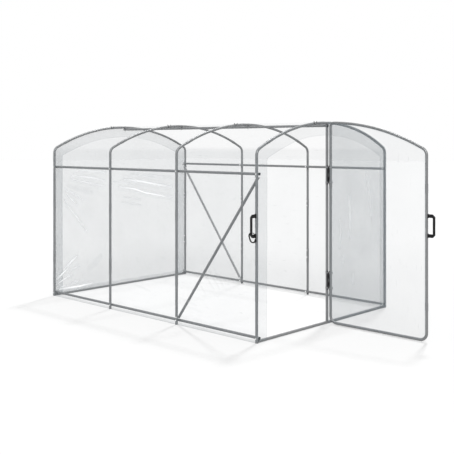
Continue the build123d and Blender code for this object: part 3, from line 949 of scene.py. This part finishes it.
class GREENHOUSE_OT_bolts(Operator):
    """Bolt the bars to the hoops and screw the tube joints"""
    bl_idname = "greenhouse.bolts"
    bl_label = "Fit Bolts"

    def execute(self, context):
        sizes = context.scene.greenhouse_fasteners
        line = HoopLine(context.scene.greenhouse_hoops)
        grip = 2 * (tube_radius + bar_radius) + seat_gap
        plate, nut, spare_thread = 0.0012, 0.005, 0.012
        shank = grip + spare_thread
        bolts = fastener_tree("Through Bolts", (
            ("Head", 20, sizes.washer_radius, plate, plate / 2),
            ("Shank", 12, sizes.shank_radius, shank, -shank / 2),
            ("Washer", 20, sizes.washer_radius, plate, -grip - plate / 2),
            ("Nut", 6, sizes.head_radius, nut, -grip - plate - nut / 2),
        ), finishes()["bright_zinc"])
        scatter("through_bolts", crossing_spots(), bolts, sizes.seed, FRAME_BODY)
        # Ridge bolts stop short of the door post on the front hoop
        ridge = [((x, mid_y, ridge_z + tube_radius), (0, 0, 1)) for x in hoop_x[1:]]
        scatter("ridge_bolts", ridge, bolts, sizes.seed + 1, FRAME_BODY)
        # Screws on the inner side of each tube joint
        screws = fastener_tree("Joint Screws", (
            ("Head", 6, 0.0045, 0.0028, 0.0026),
            ("Flange", 16, 0.0058, 0.0012, 0.0006),
        ), finishes()["bright_zinc"])
        spots = []
        for x in hoop_x:
            for z in JOINT_SCREW_HEIGHTS:
                spots.append(((x, near_y + socket_radius, z), (0, 1, 0)))
                spots.append(((x, far_y - socket_radius, z), (0, -1, 0)))
            for across in (-ARCH_SCREW_OFFSET, ARCH_SCREW_OFFSET):
                turn = asin(across / line.arch)
                reach = line.arch - socket_radius
                spots.append(((x, mid_y + reach * sin(turn), line.arch_z + reach * cos(turn)),
                              (0, -sin(turn), -cos(turn))))
        scatter("joint_screws", spots, screws, sizes.seed + 2, FRAME_BODY)
        leaf = []
        outer_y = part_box("door_free_stile")[1].y
        for name in ("door_free_stile", "door_hinge_stile"):
            low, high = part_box(name)
            x = (low.x + high.x) / 2
            for z in LEAF_SCREW_HEIGHTS:
                leaf.append(((x, outer_y, z), (0, 1, 0)))
        scatter("leaf_screws", leaf, screws, sizes.seed + 3, DOOR_BODY)
        return {"FINISHED"}


class GREENHOUSE_OT_wing_nut(Operator):
    """Put the wing nuts on the joints at the top of the hoops"""
    bl_idname = "greenhouse.wing_nut"
    bl_label = "Fit Wing Nuts"

    def execute(self, context):
        line = HoopLine(context.scene.greenhouse_hoops)
        turn = asin(WING_NUT_OFFSET / line.arch)
        y = mid_y + line.arch * sin(turn)
        z = line.arch_z + line.arch * cos(turn)
        hubs, ears = bmesh.new(), bmesh.new()
        for x in hoop_x:
            face = x + socket_radius
            lathe(hubs, WING_NUT_HUB, (face, y, z + 0.003), (1, 0, 0), 24)
            for side in (-1, 1):
                rings = [[ears.verts.new((face + depth, y + side * a, z + b))
                          for a, b in WING_NUT_EAR] for depth in (0.0012, 0.0046)]
                skin(ears, rings)
                for ring in rings:
                    ears.faces.new(ring)
        # One zinc nut in two finishes: the hub's bright zinc is partly its plating and partly a
        # painted highlight on its body, and the ears are near black
        finish_mesh(hubs, "wing_nut_hubs", "bright_zinc", FRAME_BODY)
        piece = finish_mesh(ears, "wing_nuts", "dark_zinc", FRAME_BODY)
        bevel = piece.modifiers.new("Bevel", "BEVEL")
        bevel.width = 0.0004
        bevel.segments = 2
        bevel.limit_method = "ANGLE"
        return {"FINISHED"}


class GREENHOUSE_OT_end_caps(Operator):
    """Close the ends of the bars with plastic caps"""
    bl_idname = "greenhouse.end_caps"
    bl_label = "Fit End Caps"

    def execute(self, context):
        bm = bmesh.new()
        bars = ("near_base_rail", "near_purlin", "far_base_rail", "far_purlin", "ridge_bar")
        profile = [(0, -0.004), (0.0075, -0.004), (0.0075, 0.0), (bar_radius + 0.0002, 0.0002),
                   (bar_radius, 0.0012), (bar_radius - 0.0015, 0.0021), (0.004, 0.0025),
                   (0, 0.0026)]
        for name in bars:
            low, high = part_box(name)
            y, z = (low.y + high.y) / 2, (low.z + high.z) / 2
            for x, out in ((low.x, -1), (high.x, 1)):
                lathe(bm, profile, (x, y, z), (out, 0, 0), 28)
        piece = finish_mesh(bm, "bar_end_caps", "black_coat", FRAME_BODY)
        return {"FINISHED"}


class GREENHOUSE_OT_hinges(Operator):
    """Dress the hinges with clamp bands, band bolts and pin heads"""
    bl_idname = "greenhouse.hinges"
    bl_label = "Dress Hinges"

    def execute(self, context):
        pin = frame["joints"][0]["pos_m"]
        bands = {FRAME_BODY: bmesh.new(), DOOR_BODY: bmesh.new()}
        dark = {FRAME_BODY: bmesh.new(), DOOR_BODY: bmesh.new()}
        for which in ("lower", "upper"):
            low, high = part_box(f"{which}_hinge_post_half")
            for body, tube, radius in ((FRAME_BODY, "door_post", tube_radius),
                                       (DOOR_BODY, "door_hinge_stile", socket_radius)):
                tube_low, tube_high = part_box(tube)
                centre = ((tube_low.x + tube_high.x) / 2, (tube_low.y + tube_high.y) / 2)
                inner = radius + 0.0003
                band = [(inner + out, up) for out, up in BAND_PROFILE]
                away = Vector((centre[0] - pin[0], centre[1] - pin[1], 0)).normalized()
                for z in (low.z + BAND_INSET, high.z - BAND_INSET - BAND_HEIGHT):
                    lathe(bands[body], band, (*centre, z), (0, 0, 1), 40)
                    # Bolt through the ears of the band, on the side away from the pin
                    spot = Vector((*centre, z + BAND_HEIGHT / 2)) + away * (inner + 0.0022)
                    lathe(dark[body], BAND_BOLT, spot, away, 6)
            # Pin heads above and below the barrel
            middle = (low.z + high.z) / 2
            for way in (1, -1):
                lathe(dark[DOOR_BODY], PIN_CAP,
                      (pin[0], pin[1], middle + way * HALF_BARREL), (0, 0, way), 18)
        for body, label in ((FRAME_BODY, "post"), (DOOR_BODY, "leaf")):
            finish_mesh(bands[body], f"hinge_bands_{label}", "dull_zinc_plate", body)
            finish_mesh(dark[body], f"hinge_bolts_{label}", "black_coat", body)
        return {"FINISHED"}


def rounded_rectangle(width, height, corner, per_corner=5):
    """Corners of a rectangle round the origin, in order."""
    spots = []
    for i, (a, b) in enumerate(((1, 1), (-1, 1), (-1, -1), (1, -1))):
        for k in range(per_corner):
            angle = pi / 2 * (i + k / (per_corner - 1))
            spots.append((a * (width / 2 - corner) + corner * cos(angle),
                          b * (height / 2 - corner) + corner * sin(angle)))
    return spots


def ring_point(hook, share):
    """A point of the hook's centre line, at a share of the way round it."""
    slope, twist = radians(hook.slope), radians(hook.twist)
    along = Vector((0, cos(slope), -sin(slope)))
    across = Vector((cos(twist), sin(slope) * sin(twist), cos(slope) * sin(twist)))
    bend = hook.width / 2 - hook.wire_radius
    end = (hook.length - hook.width) / 2
    way = share % 1.0 * (2 * pi * bend + 4 * end)
    if way < 2 * end:
        a, b = way - end, bend
    elif way < 2 * end + pi * bend:
        angle = (way - 2 * end) / bend
        a, b = end + bend * sin(angle), bend * cos(angle)
    elif way < 4 * end + pi * bend:
        a, b = 3 * end + pi * bend - way, -bend
    else:
        angle = (way - 4 * end - pi * bend) / bend
        a, b = -end - bend * sin(angle), -bend * cos(angle)
    return Vector(hook.centre) + along * a + across * b


class GREENHOUSE_OT_handles(Operator):
    """Add collars where the handles meet their tubes, and the hook's sleeve"""
    bl_idname = "greenhouse.handles"
    bl_label = "Dress Handles"

    def execute(self, context):
        film = context.scene.greenhouse_film
        arm_height, rim, thickness = 0.030, 0.0035, 0.0022
        for name, body in (("frame_handle", FRAME_BODY), ("door_handle", DOOR_BODY)):
            low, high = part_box(name)
            on_frame = body == FRAME_BODY
            grip = (high.x - low.x) if on_frame else (high.y - low.y)
            bm = bmesh.new()
            for z in (low.z + arm_height / 2, high.z - arm_height / 2):
                rings = []
                for inset, depth in ((-0.0002, 0), (rim, 0), (rim, thickness - 0.0007),
                                     (rim - 0.0007, thickness), (-0.0002, thickness)):
                    size = (grip + 2 * inset, arm_height + 2 * inset)
                    corners = rounded_rectangle(*size, max(0.0005, 0.002 + inset))
                    if on_frame:
                        face = near_y - film.stand_off - 0.0003 - depth
                        spots = [(hoop_x[0] + a, face, z + b) for a, b in corners]
                    else:
                        centre = (low.y + high.y) / 2
                        spots = [(low.x + depth, centre + a, z + b) for a, b in corners]
                    rings.append([bm.verts.new(spot) for spot in spots])
                skin(bm, rings + rings[:1])
            piece = finish_mesh(bm, f"{name}_collars", "black_coat", body)
        # Plastic sleeve round the outer part of the hook, and the block its gate turns in
        hook = context.scene.greenhouse_hook
        bm = bmesh.new()
        spots = [ring_point(hook, share) for share in steps(*hook.sleeve, 0.008)]
        ends = [min(1.0, 0.75 + 0.25 * k) for k in range(len(spots))]
        sweep(bm, spots, [hook.sleeve_radius * min(a, b) for a, b in zip(ends, reversed(ends))])
        shares = steps(*hook.block, 0.006)
        spots, radii = [], []
        for k, share in enumerate(shares):
            fullness = sin(pi * (k + 0.9) / (len(shares) + 0.8)) ** 0.35
            radius = hook.wire_radius + (hook.block_radius - hook.wire_radius) * fullness
            aside = Vector((0.1, -1.0, 0.0)).normalized() * (radius - hook.wire_radius)
            spots.append(ring_point(hook, share) + aside)
            radii.append(radius)
        sweep(bm, spots, radii, 16)
        for vert in bm.verts:  # flat on the side that the shut leaf passes
            vert.co.x = min(vert.co.x, hoop_x[0] + 0.0165)
        piece = finish_mesh(bm, "hook_sleeve", "black_coat", FRAME_BODY, 50)
        return {"FINISHED"}


# === Stage
def seen_directly(tree):
    """1 for a ray that shows what it meets, through glass and in mirrors too, otherwise 0."""
    path = node(tree, "ShaderNodeLightPath").outputs
    seen = maths(tree, "MAXIMUM", path["Is Camera Ray"], path["Is Glossy Ray"])
    return maths(tree, "MAXIMUM", seen, path["Is Transmission Ray"])


def make_floor(stage):
    """A pale floor that gives off a little light, more of it where the film covers it: painted
    light that takes away the film's shadow there.
    """
    bm = bmesh.new()
    bmesh.ops.create_grid(bm, x_segments=2, y_segments=2, size=60)
    bmesh.ops.translate(bm, verts=bm.verts, vec=(0, 0, -0.001))
    mesh = bpy.data.meshes.new("floor")
    bm.to_mesh(mesh)
    bm.free()
    material = bpy.data.materials.new("studio_floor")
    mesh.materials.append(material)
    tree = blank_tree(material)
    place = object_place(tree)
    # The glow makes up for the light that the floor doesn't get further out
    apart = node(tree, "ShaderNodeVectorMath", {0: place, 1: (-1.4, 1.0, 0.0)},
                 operation="DISTANCE").outputs["Value"]
    glow = ranged(tree, apart, 3.0, 6.0, stage.floor_glow, stage.floor_glow + 0.03)
    axes = node(tree, "ShaderNodeSeparateXYZ", {0: place}).outputs
    # Painted light under the film: more glow over the cover's footprint, in place of its shadow
    painted_light_area = 1.0
    for axis, low, high in ((0, hoop_x[-1], hoop_x[0]), (1, near_y, far_y)):
        off = maths(tree, "SUBTRACT", axes[axis], (low + high) / 2)
        off = maths(tree, "ABSOLUTE", off, 0.0)
        reach = (high - low) / 2
        inside = ranged(tree, off, reach - 0.12, reach + 0.06, 1.0, 0.0)
        painted_light_area = maths(tree, "MULTIPLY", inside, painted_light_area)
    glow = maths(tree, "ADD", glow, maths(tree, "MULTIPLY", painted_light_area, stage.painted_light_under_film))
    lit = node(tree, "ShaderNodeEmission", {
        "Strength": maths(tree, "MULTIPLY", seen_directly(tree), glow)})
    matt = node(tree, "ShaderNodeBsdfDiffuse", {"Color": (0.36, 0.36, 0.36, 1)})
    both = node(tree, "ShaderNodeAddShader", {0: lit.outputs[0], 1: matt.outputs[0]})
    node(tree, "ShaderNodeOutputMaterial", {"Surface": both.outputs[0]})
    return add_object("floor", mesh)


class GREENHOUSE_OT_stage(Operator):
    """Set the floor, the soft lights and the camera"""
    bl_idname = "greenhouse.stage"
    bl_label = "Set Stage"

    def execute(self, context):
        scene = context.scene
        stage = scene.greenhouse_stage
        floor = make_floor(stage)
        # World
        scene.world = bpy.data.worlds.new("studio")
        tree = blank_tree(scene.world)
        back = node(tree, "ShaderNodeBackground", {
            "Color": (1, 1, 1, 1),
            "Strength": ranged(tree, seen_directly(tree), 0, 1, stage.sky, 1.0)})
        node(tree, "ShaderNodeOutputWorld", {"Surface": back.outputs["Background"]})
        # Lights
        for name, way, width, strength in (
                ("high", (-0.15, 0.42, 1.0), 5.0, stage.high_light),
                ("front", (0.75, -0.85, 0.9), 26.0, stage.front_light)):
            light = bpy.data.lights.new(name, "SUN")
            light.angle = radians(width)
            light.energy = strength
            lamp = add_object(name, light)
            lamp.location = Vector(way) * 6
            lamp.rotation_euler = (-Vector(way)).to_track_quat("-Z", "Y").to_euler()
        # Camera
        camera = bpy.data.cameras.new("camera")
        camera.sensor_width = 36.0
        camera.lens = 61.72
        camera.shift_y = -0.1838
        camera.clip_end = 200
        eye = add_object("camera", camera)
        eye.location = (4.3706, -4.9575, 1.6945)
        eye.rotation_euler = Vector((-0.6894, 0.7244, 0)).to_track_quat("-Z", "Y").to_euler()
        scene.camera = eye
        scene.view_settings.view_transform = "Standard"
        return {"FINISHED"}


class GREENHOUSE_PT_panel(Panel):
    """Sizes and steps for the greenhouse"""
    bl_idname = "GREENHOUSE_PT_panel"
    bl_label = "Greenhouse"
    bl_space_type = "VIEW_3D"
    bl_region_type = "UI"
    bl_category = "Greenhouse"

    def draw(self, context):
        layout = self.layout
        for settings, label in SETTINGS:
            box = layout.box()
            box.label(text=label)
            group = getattr(context.scene, settings)
            for prop in group.__annotations__:
                box.prop(group, prop)
        for operator in OPERATORS:
            layout.operator(operator.bl_idname)


SETTINGS = (
    ("greenhouse_hoops", "Hoops"),
    ("greenhouse_film", "Film"),
    ("greenhouse_tubes", "Tubes"),
    ("greenhouse_fasteners", "Fasteners"),
    ("greenhouse_hook", "Hook"),
    ("greenhouse_stage", "Stage"),
)
GROUPS = (HoopSettings, FilmSettings, TubeSettings, FastenerSettings, HookSettings, StageSettings)
OPERATORS = (
    GREENHOUSE_OT_tubes,
    GREENHOUSE_OT_cover,
    GREENHOUSE_OT_flaps,
    GREENHOUSE_OT_end_panels,
    GREENHOUSE_OT_door_film,
    GREENHOUSE_OT_bolts,
    GREENHOUSE_OT_wing_nut,
    GREENHOUSE_OT_end_caps,
    GREENHOUSE_OT_hinges,
    GREENHOUSE_OT_handles,
    GREENHOUSE_OT_stage,
)


def register():
    for item in (*GROUPS, *OPERATORS, GREENHOUSE_PT_panel):
        bpy.utils.register_class(item)
    for (name, _), group in zip(SETTINGS, GROUPS):
        setattr(bpy.types.Scene, name, PointerProperty(type=group))


def unregister():
    for name, _ in SETTINGS:
        delattr(bpy.types.Scene, name)
    for item in reversed((*GROUPS, *OPERATORS, GREENHOUSE_PT_panel)):
        bpy.utils.unregister_class(item)


def main():
    register()
    for operator in OPERATORS:
        group, name = operator.bl_idname.split(".")
        getattr(getattr(bpy.ops, group), name)()


if __name__ == "__main__":
    main()
